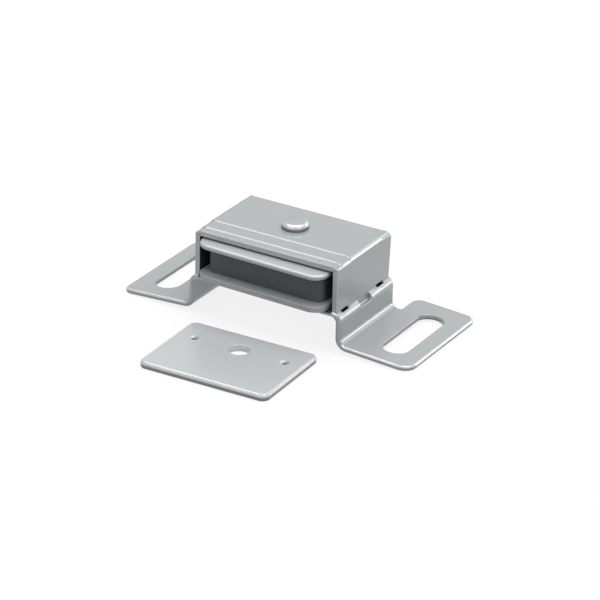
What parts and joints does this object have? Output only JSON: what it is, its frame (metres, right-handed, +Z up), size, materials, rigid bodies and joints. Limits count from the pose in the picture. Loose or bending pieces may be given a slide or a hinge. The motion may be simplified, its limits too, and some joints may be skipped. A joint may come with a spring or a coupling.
{
  "type": "magnetic catch",
  "caption": "Magnetic cabinet catch: a magnet between pole plates swivels under a folded steel cover on a slotted mounting strap, with its loose strike plate.",
  "frame": {"origin": "on the mounting surface, midway between the two fixing slots", "axes": "+Z up from the mounting surface, +X to the right along the length over the feet, +Y to the back, away from the strike plate"},
  "size_m": [0.089, 0.0719, 0.0271],
  "materials": {
    "zinc_steel": "satin zinc plate on folded sheet steel",
    "pole_steel": "plated steel with stamped edges",
    "ferrite": "dull sintered ferrite",
    "rivet_steel": "bright plated, formed head",
    "strike_steel": "satin zinc plate on stamped steel"
  },
  "bodies": {
    "base": {"base_strap": "zinc_steel", "cover": "zinc_steel", "rivet": "rivet_steel", "strike_plate": "strike_steel"},
    "magnet_unit": {"upper_pole_plate": "pole_steel", "magnet": "ferrite", "lower_pole_plate": "pole_steel"}
  },
  "joints": [
    {"name": "magnet_swivel", "type": "hinge", "parent": "base", "child": "magnet_unit", "pos_m": [0, -0.0024, 0.0172], "axis": [0, 0, 1], "range_deg": [-1, 4]}
  ]
}
